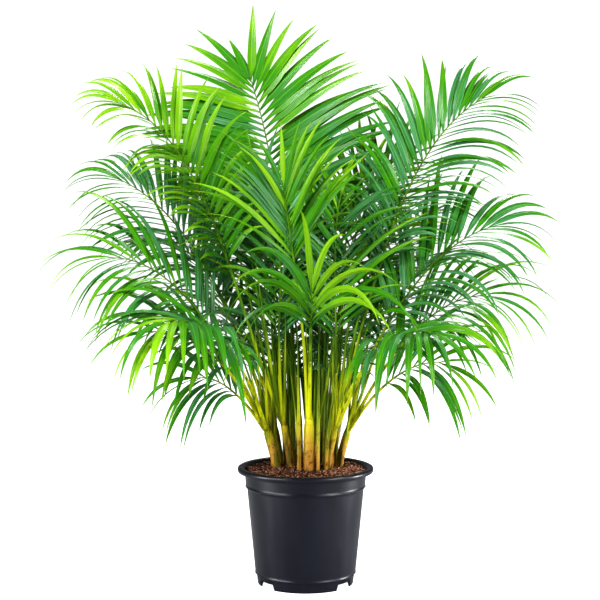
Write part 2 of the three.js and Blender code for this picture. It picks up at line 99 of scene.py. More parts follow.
START_SHARE = 0.8  # of a cane's length, where its stalks begin inside it
RISING_HANDLE = 0.45  # of the span from a stalk's start to its frond's tip
ARCHING_HANDLE = 0.25  # of the same span, at the tip
STALK_RADIUS = 4.6 * MM
NECK_RADIUS = 2.3 * MM
RACHIS_END_RADIUS = 0.8 * MM
STALK_LAP = 0.002  # of a frond's length, by which its stalk runs on round the rachis
SCAR_WIDTH = 1.1 * MM  # from the middle of a leaf scar to where it has mostly faded
SPEARS = 7  # leaves on each cane that haven't opened yet
SHOOTS = 3  # young canes beside each cane
LONGEST_AT = 0.45  # of a frond's blade, where its leaflets are longest
END_ANGLE = 13  # degrees between the last leaflets and the rachis
SKYWARD = 1.4  # how strongly leaflets turn their faces from the frond's own face to the sky
ARCH_STEPS = 200
ARCH_REACH = 0.004  # of an arch's length, to either side of the place where its heading is measured

BLADE_RINGS = 10
BLADE_THICKNESS = 0.7 * MM
BLADE_FOLD = math.radians(13)  # each half of a blade hangs this far from its midrib
TOUCH = 0.0003  # metres between two faces that count as crossing
CROSSINGS_KEPT = 6  # the most crossings that a leaflet may keep

MIX_SEED = 41
CANE_SEED = 500

# Each cane: its foot on the soil, its diameter, the height where its stalks part, its outward lean and
# how green it is, from 0 for yellow to 1. This is partly the cane's own colour and partly painted shade
# that makes the canes at the back of the clump darker green.
CANES = (
    dict(foot=(0.006, -0.021), diameter=0.0190, height=0.118, lean=2, shade=0.00),
    dict(foot=(-0.046, 0.008), diameter=0.0150, height=0.096, lean=19, shade=0.10),
    dict(foot=(-0.022, 0.014), diameter=0.0125, height=0.104, lean=15, shade=0.30),
    dict(foot=(0.034, -0.007), diameter=0.0125, height=0.100, lean=14, shade=0.25),
    dict(foot=(0.054, 0.014), diameter=0.0130, height=0.096, lean=19, shade=0.10),
    dict(foot=(-0.010, 0.040), diameter=0.0120, height=0.120, lean=6, shade=0.60),
    dict(foot=(0.020, 0.036), diameter=0.0120, height=0.110, lean=8, shade=0.70),
    dict(foot=(-0.042, 0.046), diameter=0.0115, height=0.092, lean=17, shade=0.55),
    dict(foot=(0.046, 0.050), diameter=0.0115, height=0.096, lean=17, shade=0.60),
    dict(foot=(0.003, 0.068), diameter=0.0125, height=0.100, lean=14, shade=0.90),
    dict(foot=(-0.030, 0.032), diameter=0.0100, height=0.088, lean=10, shade=0.50),
    dict(foot=(0.037, 0.024), diameter=0.0100, height=0.090, lean=10, shade=0.50),
    dict(foot=(-0.022, 0.064), diameter=0.0100, height=0.086, lean=10, shade=0.90),
    dict(foot=(0.027, 0.062), diameter=0.0100, height=0.088, lean=11, shade=0.95),
)

# Each frond: the cane that bears it, how far its stalk leans from the vertical as it leaves, where the
# rachis ends, how steeply it still rises there (below zero it hangs), how far its upper face is turned
# from the sky to the front, how far its two rows of leaflets are raised into a V, how wide they stand
# open from the rachis, the longest leaflet, how strongly the leaflets droop, how broad they are, how far
# apart, the share of the frond that is its stalk, the share of the blade that bears none at its foot,
# how unruly they are from 0 to 1, and how young, from 1 for lime down through green to below 0, where
# the fronds in the heart and at the back of the clump take a painted shade.
FROND_KEYS = (
    "cane", "lean", "tip", "rise", "turn", "lift", "fan", "leaflet", "droop", "width", "spacing", "stalk",
    "bare", "wild", "young")
FRONDS = tuple(dict(zip(FROND_KEYS, row)) for row in (
    (5, 5, (-0.102, 0.130, 0.910), 66, 85, 14, 63, 0.252, 0.50, 0.023, 0.0123, 0.46, 0.00, 0.10, 0.34),
    (2, 20, (-0.328, -0.040, 0.855), 18, 30, 30, 42, 0.178, 1.30, 0.014, 0.0151, 0.46, 0.00, 0.20, 0.58),
    (3, 14, (0.318, 0.020, 0.867), 28, 38, 16, 42, 0.200, 1.20, 0.015, 0.0130, 0.46, 0.00, 0.20, 0.16),
    (2, 24, (-0.332, 0.040, 0.721), 24, 36, 16, 42, 0.205, 1.40, 0.014, 0.0147, 0.46, 0.00, 0.20, 0.04),
    (1, 24, (-0.331, -0.090, 0.586), 0, 32, 16, 42, 0.235, 1.60, 0.012, 0.0139, 0.46, 0.00, 0.30, 0.30),
    (3, 22, (0.326, -0.040, 0.639), 16, 36, 24, 42, 0.215, 1.40, 0.014, 0.0151, 0.46, 0.00, 0.20, 0.12),
    (4, 26, (0.304, -0.090, 0.521), 2, 32, 18, 42, 0.240, 1.60, 0.012, 0.0139, 0.46, 0.00, 0.30, 0.38),
    (4, 30, (0.238, -0.060, 0.401), -8, 32, 18, 46, 0.232, 1.60, 0.014, 0.0160, 0.46, 0.00, 0.30, 0.42),
    (1, 28, (-0.258, -0.120, 0.461), -8, 32, 18, 46, 0.235, 1.70, 0.015, 0.0160, 0.46, 0.00, 0.30, 0.34),
    (1, 32, (-0.192, -0.030, 0.371), -12, 32, 18, 46, 0.200, 1.70, 0.013, 0.0125, 0.46, 0.00, 0.30, 0.24),
    (0, 2, (-0.038, -0.080, 0.709), 80, 80, 14, 32, 0.210, 0.80, 0.011, 0.0090, 0.46, 0.40, 0.70, 0.42),
    (0, 4, (0.010, -0.122, 0.529), 80, 90, 20, 30, 0.262, 1.90, 0.014, 0.0120, 0.46, 0.45, 0.40, 0.46),
    (10, 10, (-0.112, 0.065, 0.731), 42, 50, 14, 44, 0.205, 0.90, 0.011, 0.0150, 0.34, 0.00, 0.80, 0.30),
    (11, 9, (0.122, 0.075, 0.744), 44, 50, 14, 44, 0.205, 0.90, 0.011, 0.0150, 0.34, 0.00, 0.80, 0.45),
    (6, 10, (0.170, 0.100, 0.759), 40, 50, 14, 44, 0.205, 0.90, 0.012, 0.0155, 0.34, 0.00, 0.60, 0.30),
    (1, 24, (-0.225, -0.246, 0.489), -6, 20, 14, 44, 0.230, 1.70, 0.016, 0.0172, 0.40, 0.00, 0.40, 0.20),
    (3, 24, (0.205, -0.253, 0.471), -6, 20, 14, 44, 0.225, 1.70, 0.015, 0.0172, 0.40, 0.00, 0.40, 0.26),
    (4, 24, (0.250, 0.130, 0.579), 2, 0, 14, 46, 0.205, 1.30, 0.015, 0.0150, 0.40, 0.00, 0.45, 0.02),
    (5, 14, (-0.150, 0.222, 0.699), 16, 0, 14, 46, 0.210, 1.10, 0.017, 0.0150, 0.40, 0.00, 0.45, 0.08),
    (6, 14, (0.050, 0.240, 0.719), 14, 0, 14, 46, 0.215, 1.10, 0.017, 0.0150, 0.40, 0.00, 0.45, 0.04),
    (7, 24, (-0.275, 0.170, 0.609), 0, 0, 14, 46, 0.205, 1.30, 0.015, 0.0158, 0.42, 0.00, 0.35, 0.06),
    (7, 28, (-0.190, 0.225, 0.449), -14, 0, 14, 46, 0.190, 1.40, 0.016, 0.0145, 0.42, 0.00, 0.40, 0.06),
    (8, 22, (0.240, 0.210, 0.664), 10, 0, 14, 46, 0.195, 1.20, 0.013, 0.0167, 0.42, 0.00, 0.35, 0.10),
    (8, 28, (0.165, 0.230, 0.445), -14, 0, 14, 46, 0.190, 1.40, 0.016, 0.0145, 0.42, 0.00, 0.40, 0.00),
    (9, 20, (-0.060, 0.245, 0.594), -4, 0, 14, 46, 0.200, 1.30, 0.017, 0.0141, 0.40, 0.00, 0.45, 0.02),
    (9, 22, (0.095, 0.243, 0.514), -10, 0, 14, 46, 0.195, 1.40, 0.017, 0.0141, 0.40, 0.00, 0.45, -0.02),
    (9, 28, (0.000, 0.235, 0.409), -18, 0, 14, 46, 0.185, 1.40, 0.017, 0.0132, 0.40, 0.00, 0.45, -0.06),
    (3, 5, (0.064, 0.010, 0.699), 64, 60, 14, 42, 0.185, 0.90, 0.010, 0.0140, 0.24, 0.20, 1.00, 0.30),
    (2, 8, (-0.066, 0.010, 0.664), 60, 60, 14, 42, 0.185, 1.00, 0.010, 0.0140, 0.24, 0.20, 1.00, 0.10),
    (10, 9, (-0.128, 0.030, 0.659), 42, 50, 14, 44, 0.180, 1.10, 0.010, 0.0135, 0.24, 0.00, 1.00, 0.00),
    (11, 10, (0.118, 0.030, 0.664), 42, 50, 14, 44, 0.180, 1.10, 0.010, 0.0135, 0.24, 0.00, 1.00, 0.10),
    (12, 8, (-0.026, 0.119, 0.644), 37, 10, 14, 48, 0.180, 1.20, 0.010, 0.0140, 0.20, 0.00, 0.80, -0.30),
    (13, 8, (0.070, 0.130, 0.584), 25, 0, 14, 48, 0.180, 1.30, 0.010, 0.0140, 0.20, 0.00, 0.80, -0.30),
    (10, 13, (-0.182, -0.006, 0.500), 3, 25, 14, 44, 0.175, 1.40, 0.010, 0.0135, 0.22, 0.00, 1.00, 0.20),
    (11, 16, (0.160, 0.000, 0.499), 5, 25, 14, 44, 0.175, 1.40, 0.010, 0.0135, 0.22, 0.00, 1.00, 0.10),
    (12, 14, (-0.100, 0.170, 0.509), 0, 0, 14, 44, 0.175, 1.40, 0.010, 0.0140, 0.20, 0.00, 0.80, -0.30),
))

# Ways to bend a leaflet clear of its neighbours, tried in turn: degrees forwards, degrees raised,
# degrees twisted and the share of its length that is kept.
BENDS = (
    (0, 0, 0, 1.00), (3, 0, 0, 1.00), (-3, 0, 0, 1.00), (0, 5, 0, 1.00), (0, -5, 0, 1.00),
    (0, 0, 12, 1.00), (4, 6, 8, 1.00), (-4, -6, 10, 1.00), (6, -8, 0, 0.97), (-6, 10, 0, 0.97),
    (0, 15, 8, 0.96), (0, -14, 8, 0.96), (10, 6, 0, 0.93), (-10, -6, 0, 0.93), (6, 20, 12, 0.88),
    (12, -12, 12, 0.84), (3, 10, 25, 0.75), (-3, -14, 20, 0.65),
)

# ---- Colours, camera and lights ----------------------------------------------

PALE_CHIP = (0.40, 0.26, 0.16)
SPECK = (0.085, 0.028, 0.006)  # brown specks low on a cane
SCAR = (0.16, 0.08, 0.02)
PAINTED_SHEEN = (0.20, 0.44, 0.28)  # painted sheen: pale bluish streaks on older leaflets
MIDRIB = (0.30, 0.55, 0.06)
LEAF_RIM = (0.34, 0.60, 0.05)
LEAF_TIP = (0.42, 0.42, 0.05)
GLOW = (0.26, 0.66, 0.002)  # tint of the light that comes through a leaflet
GLOW_SHARE = 0.22
WHITE = (1, 1, 1)

CAMERA_PLACE = (0, -2.691, 0.680)
CAMERA_DIP = 3.66  # degrees by which the camera looks down
CAMERA_PAN = 0.21  # degrees by which it looks to the left
SENSOR_WIDTH = 36  # millimetres
FLOOR_REACH = 6  # metres from the pot to the edge of the floor

MIDDLE = (0, 0, 0.55)
STEMS = (0, 0, 0.3)
POT_WALL = (0, 0, 0.1)

# Each light: where it stands, what it is aimed at, how wide it is and its share of the key light's power.
LIGHTS = {
    "key_light": ((-1.5, -1.8, 3.0), MIDDLE, 0.8, 1.0),
    "fill_light": ((2.6, -1.2, 2.0), MIDDLE, 0.8, 0.6),
    "back_light": ((0.4, 2.2, 3.0), MIDDLE, 1.2, 0.85),
    "left_light": ((-1.6, -0.5, 0.16), POT_WALL, 0.3, 0.12),
    "right_light": ((1.6, 0.1, 0.16), POT_WALL, 0.3, 0.16),
    "low_left_light": ((-1.7, -1.5, 0.62), STEMS, 1.1, 0.25),
    "low_right_light": ((1.7, -1.5, 0.62), STEMS, 1.1, 0.25),
}

# ---- Settings ----------------------------------------------------------------


class PotSettings(bpy.types.PropertyGroup):
    """The nursery pot."""

    plastic: FloatVectorProperty(
        name="Plastic", description="Colour of the moulded plastic", subtype="COLOR",
        default=(0.0026, 0.0033, 0.0085), min=0, max=1)
    grain: FloatProperty(
        name="Grain", description="Depth of the moulded grain", default=0.02 * MM, min=0, unit="LENGTH")


class MixSettings(bpy.types.PropertyGroup):
    """The potting mix."""

    chips: IntProperty(name="Chips", description="Loose chips on the surface", default=2800, min=0)
    chip_size: FloatProperty(
        name="Chip size", description="Length of the largest chips", default=4.4 * MM, min=0.001,
        unit="LENGTH")
    bark: FloatVectorProperty(
        name="Bark", description="Main colour of the chips", subtype="COLOR",
        default=(0.195, 0.086, 0.056), min=0, max=1)


class StemSettings(bpy.types.PropertyGroup):
    """The canes and their leaf stalks."""

    ring_spacing: FloatProperty(
        name="Ring spacing", description="Distance between two leaf scars on a cane",
        default=31 * MM, min=0.005, unit="LENGTH")
    foot: FloatVectorProperty(
        name="Foot", description="Colour of the canes at the soil", subtype="COLOR",
        default=(0.44, 0.215, 0.036), min=0, max=1)
    skin: FloatVectorProperty(
        name="Skin", description="Colour of the canes above their foot", subtype="COLOR",
        default=(0.46, 0.49, 0.005), min=0, max=1)
    stalk: FloatVectorProperty(
        name="Stalk", description="Colour of the leaf stalks high up", subtype="COLOR",
        default=(0.09, 0.22, 0.006), min=0, max=1)


class LeafSettings(bpy.types.PropertyGroup):
    """The fronds' leaflets."""

    breadth: FloatProperty(
        name="Breadth", description="Scales the width of every leaflet", default=1.0, min=0.2, max=1.5)
    crowding: FloatProperty(
        name="Crowding", description="Scales the number of leaflets on every frond", default=1.0, min=0.3,
        max=1.5)
    # Painted shade: the dark green taken by leaflets in the heart and at the back of the clump, where shade
    # falls.
    painted_shade_green: FloatVectorProperty(
        name="Deep", description="Colour of the oldest leaflets in the heart of the clump", subtype="COLOR",
        default=(0.003, 0.045, 0.004), min=0, max=1)
    mature: FloatVectorProperty(
        name="Mature", description="Colour of an old frond", subtype="COLOR",
        default=(0.032, 0.200, 0.038), min=0, max=1)
    fresh: FloatVectorProperty(
        name="Fresh", description="Colour of a frond in its prime", subtype="COLOR",
        default=(0.044, 0.245, 0.001), min=0, max=1)
    young: FloatVectorProperty(
        name="Young", description="Colour of a frond that is still opening", subtype="COLOR",
        default=(0.265, 0.540, 0.005), min=0, max=1)
    seed: IntProperty(name="Seed", description="Changes how the leaflets vary", default=7, min=0)


class StageSettings(bpy.types.PropertyGroup):
    """The floor, the light and the camera."""

    key: FloatProperty(
        name="Key light", description="Power of the key light", default=118, min=0, unit="POWER")
    sky: FloatProperty(name="Sky", description="Strength of the light from all around", default=0.22, min=0)
    focal_length: FloatProperty(
        name="Focal length", description="Focal length of the camera, in millimetres", default=91.0,
        min=1)


SETTINGS = {
    "palm_pot": PotSettings,
    "palm_mix": MixSettings,
    "palm_stems": StemSettings,
    "palm_leaves": LeafSettings,
    "palm_stage": StageSettings,
}

# ---- Curves ------------------------------------------------------------------


class Arch:
    """A Bezier line that is measured by its length."""

    def __init__(self, *knots):
        self.points = interpolate_bezier(*knots, ARCH_STEPS + 1)
        self.run = [0.0]
        for before, after in zip(self.points, self.points[1:]):
            self.run.append(self.run[-1] + (after - before).length)
        self.length = self.run[-1]

    def _step(self, share):
        """The step that holds this share of the length, and the share of the step itself."""
        far = min(max(share, 0.0), 1.0) * self.length
        low, high = 0, ARCH_STEPS
        while high - low > 1:
            middle = (low + high) // 2
            low, high = (middle, high) if self.run[middle] <= far else (low, middle)
        return low, (far - self.run[low]) / (self.run[high] - self.run[low])

    def at(self, share):
        step, rest = self._step(share)
        return self.points[step].lerp(self.points[step + 1], rest)

    def along(self, share):
        ahead = self.at(min(share + ARCH_REACH, 1.0))
        return (ahead - self.at(max(share - ARCH_REACH, 0.0))).normalized()


def leaning(lean, heading):
    """The way a stem heads when it leans from the vertical towards a heading in plan."""
    return Vector((
        math.sin(lean) * math.cos(heading),
        math.sin(lean) * math.sin(heading),
        math.cos(lean),
    ))


def cane_arch(cane):
    """From below the soil to the place where the stalks part, curving outwards a little."""
    x, y = cane["foot"]
    root = Vector((x, y, SOIL_TOP - ROOT_DEPTH))
    line = Vector((x, y, SOIL_TOP))
    top = line + cane["height"] * leaning(math.radians(cane["lean"]), math.atan2(y, x))
    return Arch(root, root.lerp(line, 2 / 3), top.lerp(line, 2 / 3), top)


def frond_arch(frond):
    """The line of a whole frond, from inside its cane to the end of its rachis."""
    cane = CANES[frond["cane"]]
    start = cane_arch(cane).at(START_SHARE)
    end = Vector(frond["tip"])
    heading = math.atan2(end.y - start.y, end.x - start.x)
    start += 0.2 * cane["diameter"] * leaning(math.pi / 2, heading)
    span = (end - start).length
    return Arch(
        start,
        start + span * RISING_HANDLE * leaning(math.radians(frond["lean"]), heading),
        end - span * ARCHING_HANDLE * leaning(math.radians(90 - frond["rise"]), heading),
        end,
    )


def smooth(low, high, value):
    """0 below low, 1 above high and an even rise between them."""
    share = min(max((value - low) / (high - low), 0.0), 1.0)
    return share * share * (3 - 2 * share)


def mix(a, b, share):
    return a + (b - a) * share


# ---- Meshes ------------------------------------------------------------------


def unit_bar(sides, rings, crisp=False):
    """A closed bar of radius 1 that stands on Z = 0 and is 1 high, and where each vertex sits on it."""
    bar = bmesh.new()
    bmesh.ops.create_cone(
        bar, cap_ends=True, segments=sides, radius1=1, radius2=1, depth=1,
        matrix=Matrix.Translation((0, 0, 0.5)))
    upright = [edge for edge in bar.edges if abs(edge.verts[0].co.z - edge.verts[1].co.z) > 0.5]
    bmesh.ops.subdivide_edges(bar, edges=upright, cuts=rings - 1)
    for edge in bar.edges:
        lengthwise = abs(edge.verts[0].co.z - edge.verts[1].co.z) > 0.5 / rings
        edge.smooth = not (crisp and lengthwise)
    return bar, [vert.co.copy() for vert in bar.verts]


def lathed(section):
    """A section of (radius, height) points, turned round the pot's axis."""
    bm = bmesh.new()
    points = [bm.verts.new((radius, 0, height)) for radius, height in section]
    lines = [bm.edges.new(pair) for pair in zip(points, points[1:])]
    bmesh.ops.spin(
        bm, geom=points + lines, cent=(0, 0, 0), axis=(0, 0, 1), dvec=(0, 0, 0),
        angle=math.tau, steps=POT_STEPS, use_merge=True)
    bmesh.ops.remove_doubles(bm, verts=bm.verts, dist=1e-6)
    return bm


def poured(bar, target):
    """Adds a copy of the bar, as it is now, to the target bmesh."""
    scratch = bpy.data.meshes.new("scratch")
    bar.to_mesh(scratch)
    target.from_mesh(scratch)
    bpy.data.meshes.remove(scratch)


def add_bar(target, arch, start, end, radius_at, sides, rings, scar_at=None, shade=0.5):
    """A round bar along part of an arch, and a BVH tree of it."""
    bar, seats = unit_bar(sides, rings)
    facing = Vector((1, 0, 0))
    scar = bar.verts.layers.float.new("scar")
    # The shade turns the skin towards a darker green. This is partly the stem's own colour and partly
    # painted shade.
    green = bar.verts.layers.float.new("shade")
    for vert, seat in zip(bar.verts, seats):
        share = mix(start, end, seat.z)
        along = arch.along(share)
        across = (facing - along * along.dot(facing)).normalized()
        outward = seat.x * across + seat.y * along.cross(across)
        vert.co = arch.at(share) + radius_at(seat.z) * outward
        vert[scar] = scar_at(seat.z) if scar_at else 0.0
        vert[green] = shade
    tree = BVHTree.FromBMesh(bar)
    poured(bar, target)
    bar.free()
    return tree


def new_piece(name, bm, materials, smooth_shading=True):
    """Turns a bmesh into a piece that rides on the part's body."""
    for face in bm.faces:
        face.smooth = smooth_shading
    mesh = bpy.data.meshes.new(name)
    bm.to_mesh(mesh)
    bm.free()
    for material in materials:
        mesh.materials.append(material)
    piece = bpy.data.objects.new(name, mesh)
    bpy.context.scene.collection.objects.link(piece)
    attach(piece, "root")
    return piece


# ---- Materials ---------------------------------------------------------------


class Nodes:
    """A material's node tree, with short ways to add to it."""

    def __init__(self, name):
        self.material = bpy.data.materials.new(name)
        self.material.use_nodes = True
        self.tree = self.material.node_tree
        self.shader = self.tree.nodes["Principled BSDF"]
        self.output = self.tree.nodes["Material Output"]

    def add(self, kind, **inputs):
        node = self.tree.nodes.new(kind)
        for name, value in inputs.items():
            self.put(node.inputs[name.replace("_", " ")], value)
        return node

    def put(self, socket, value):
        if isinstance(value, bpy.types.NodeSocket):
            self.tree.links.new(value, socket)
        else:
            socket.default_value = value

    def maths(self, operation, *values):
        node = self.tree.nodes.new("ShaderNodeMath")
        node.operation = operation
        for socket, value in zip(node.inputs, values):
            self.put(socket, value)
        return node.outputs[0]

    def blend(self, share, first, second, mode="MIX"):
        node = self.tree.nodes.new("ShaderNodeMix")
        node.data_type = "RGBA"
        node.blend_type = mode
        sockets = [socket for socket in node.inputs if socket.enabled]
        for socket, value in zip(sockets, (share, first, second)):
            self.put(socket, value)
        return next(socket for socket in node.outputs if socket.enabled)

    def between(self, value, low, high, start=0.0, end=1.0):
        node = self.tree.nodes.new("ShaderNodeMapRange")
        node.interpolation_type = "SMOOTHSTEP"
        for socket, number in zip(node.inputs, (value, low, high, start, end)):
            self.put(socket, number)
        return node.outputs[0]

    def noise(self, scale, detail=2.0, stretch=None, vector=None, rough=0.5):
        if vector is None:
            vector = self.add("ShaderNodeTexCoord").outputs["Object"]
        if stretch is not None:
            vector = self.add("ShaderNodeMapping", Vector=vector, Scale=stretch).outputs[0]
        node = self.add("ShaderNodeTexNoise", Vector=vector, Scale=scale, Detail=detail, Roughness=rough)
        return node.outputs[0]

    def height(self):
        place = self.add("ShaderNodeTexCoord").outputs["Object"]
        return self.add("ShaderNodeSeparateXYZ", Vector=place).outputs[2]

    def attribute(self, name):
        node = self.tree.nodes.new("ShaderNodeAttribute")
        node.attribute_name = name
        return node

    def bump(self, height, distance):
        return self.add("ShaderNodeBump", Strength=1.0, Distance=distance, Height=height).outputs[0]

    def set(self, **inputs):
        """Sets the shader's own sockets."""
        for name, value in inputs.items():
            self.put(self.shader.inputs[name.replace("_", " ")], value)


def rgba(colour, brightness=1.0):
    return (*(channel * brightness for channel in colour), 1.0)


def plastic_material(settings):
    """Satin black moulded plastic: a fine grain, faint flow marks and uneven gloss."""
    nodes = Nodes("pot_plastic")
    grain = nodes.noise(1600, detail=3)
    flow = nodes.noise(26, detail=2, stretch=(1, 1, 0.25))
    shade = nodes.blend(nodes.between(flow, 0.35, 0.7), rgba(settings.plastic), rgba(settings.plastic, 1.5))
    nodes.set(
        Base_Color=shade,
        Roughness=nodes.between(flow, 0.3, 0.75, 0.30, 0.40),
        Specular_IOR_Level=0.34,
        Normal=nodes.bump(grain, settings.grain),
    )
    return nodes.material


def bark_material(settings):
    """Coir and peat: dark brown chips with paler and redder ones among them."""
    nodes = Nodes("potting_mix")
    tone = nodes.attribute("tone").outputs["Fac"]
    fibre = nodes.noise(900, detail=4, rough=0.65)
    patch = nodes.between(nodes.noise(60, detail=2), 0.35, 0.65)
    dark = nodes.blend(patch, rgba(settings.bark, 0.18), rgba(settings.bark, 0.8))
    chips = nodes.blend(nodes.between(tone, 0.45, 0.85), dark, rgba(settings.bark, 2.3))
    chips = nodes.blend(nodes.between(tone, 0.88, 0.93), chips, rgba(PALE_CHIP))
    strands = nodes.blend(fibre, rgba(WHITE, 0.2), rgba(WHITE, 1.7))
    nodes.set(
        Base_Color=nodes.blend(0.7, chips, strands, "MULTIPLY"),
        Roughness=0.85,
        Specular_IOR_Level=0.1,
        Normal=nodes.bump(fibre, 0.6 * MM),
    )
    return nodes.material


def stem_material(settings):
    """Cane and stalk skin: orange-brown at the soil, then yellow, then green, ringed and speckled, and a
    darker green from painted shade on the canes at the back of the clump.
    """
    nodes = Nodes("cane_skin")
    scar = nodes.attribute("scar").outputs["Fac"]
    height = nodes.height()
    streaks = nodes.noise(110, detail=3, stretch=(1, 1, 0.07))
    blotches = nodes.noise(60, detail=4, rough=0.65)
    wander = nodes.maths("MULTIPLY_ADD", nodes.noise(26, stretch=(1, 1, 0.35)), 0.14, -0.07)
    level = nodes.maths("ADD", height, wander)
    # Shade is partly the cane's own greener colour and partly painted shade. It darkens the back canes, the
    # spears and the shoots by lowering where the dark stalk green begins and by strengthening its streaks.
    shade = nodes.attribute("shade").outputs["Fac"]
    skin = nodes.blend(nodes.between(level, 0.215, 0.310), rgba(settings.foot), rgba(settings.skin))
    level_and_painted_shade = nodes.maths("MULTIPLY_ADD", shade, 0.14, level)
    skin = nodes.blend(nodes.between(level_and_painted_shade, 0.34, 0.56), skin, rgba(settings.stalk))
    streak = nodes.between(nodes.maths("MULTIPLY_ADD", shade, 0.22, streaks), 0.50, 0.70, 0.0, 0.85)
    skin = nodes.blend(streak, skin, rgba(settings.stalk, 0.45))
    low = nodes.between(height, 0.36, 0.21)
    specks = nodes.maths("MULTIPLY", nodes.between(blotches, 0.52, 0.64), low)
    skin = nodes.blend(nodes.maths("MULTIPLY", specks, 0.8), skin, rgba(SPECK))
    skin = nodes.blend(nodes.maths("MULTIPLY", scar, 0.3), skin, rgba(SCAR))
    nodes.set(
        Base_Color=skin,
        Roughness=nodes.between(blotches, 0.3, 0.7, 0.30, 0.46),
        Specular_IOR_Level=0.1,
        Normal=nodes.bump(streaks, 0.4 * MM),
    )
    return nodes.material


def leaf_material(settings):
    """Leaflet skin: a painted dark shade in the heart of the clump, green to lime by age, fine veins, a
    painted bluish sheen on older leaflets, a pale midrib, glossy and lit through.
    """
    nodes = Nodes("leaf_skin")
    blade = nodes.add("ShaderNodeSeparateXYZ", Vector=nodes.attribute("blade").outputs["Vector"]).outputs
    along, across, chance = blade[0], blade[1], blade[2]
    away = nodes.maths("ABSOLUTE", across)
    young = nodes.attribute("young").outputs["Fac"]
    patches = nodes.noise(12, detail=2)
    age = nodes.maths("MULTIPLY_ADD", chance, 0.34, nodes.maths("ADD", young, -0.17))
    age = nodes.maths("ADD", age, nodes.between(patches, 0.35, 0.7, -0.10, 0.12))
    age = nodes.maths("ADD", age, nodes.between(along, 0.30, 1.0, 0.0, 0.26))
    vein_place = nodes.add(
        "ShaderNodeCombineXYZ", X=nodes.maths("MULTIPLY", across, 7.0),
        Y=nodes.maths("MULTIPLY", along, 1.4), Z=nodes.maths("MULTIPLY", chance, 91.0)).outputs[0]
    veins = nodes.noise(1.0, detail=4, vector=vein_place, rough=0.6)
    # The further the age falls below 0.10, the nearer the green comes to the painted shade of the clump's
    # heart.
    green = nodes.blend(nodes.between(age, -0.5, 0.10), rgba(settings.painted_shade_green), rgba(settings.mature))
    green = nodes.blend(nodes.between(age, 0.06, 0.46), green, rgba(settings.fresh))
    green = nodes.blend(nodes.between(age, 0.42, 1.02), green, rgba(settings.young))
    green = nodes.blend(nodes.between(veins, 0.38, 0.70, 0.0, 0.55), green, rgba(settings.mature, 0.45))
    # Painted sheen: pale bluish streaks on older leaflets, following the pattern of the veins.
    older = nodes.between(age, 0.29, 0.04, 0.0, 0.70)
    painted_sheen_mask = nodes.maths("MULTIPLY", nodes.between(veins, 0.52, 0.34), older)
    green = nodes.blend(painted_sheen_mask, green, rgba(PAINTED_SHEEN))
    green = nodes.blend(nodes.between(away, 0.12, 0.04, 0.0, 0.28), green, rgba(MIDRIB))
    green = nodes.blend(nodes.between(away, 0.86, 1.0, 0.0, 0.25), green, rgba(LEAF_RIM))
    green = nodes.blend(nodes.between(along, 0.93, 1.0, 0.0, 0.6), green, rgba(LEAF_TIP))
    nodes.set(
        Base_Color=green,
        Roughness=nodes.between(veins, 0.3, 0.7, 0.17, 0.30),
        Specular_IOR_Level=0.2,
        Normal=nodes.bump(veins, 0.30 * MM),
    )
    through = nodes.add("ShaderNodeBsdfTranslucent", Color=nodes.blend(0.4, green, rgba(GLOW)))
    both = nodes.add("ShaderNodeMixShader")
    both.inputs[0].default_value = GLOW_SHARE
    nodes.put(both.inputs[1], nodes.shader.outputs[0])
    nodes.put(both.inputs[2], through.outputs[0])
    nodes.put(nodes.output.inputs["Surface"], both.outputs[0])
    return nodes.material


# ---- Pot ---------------------------------------------------------------------


def braced(low, high):
    """A straight wall of the section, with a line near each end so that it shades flat."""
    low, high = Vector(low), Vector(high)
    inset = (high - low).normalized() * BRACE
    return [tuple(point) for point in (low, low + inset, high - inset, high)]


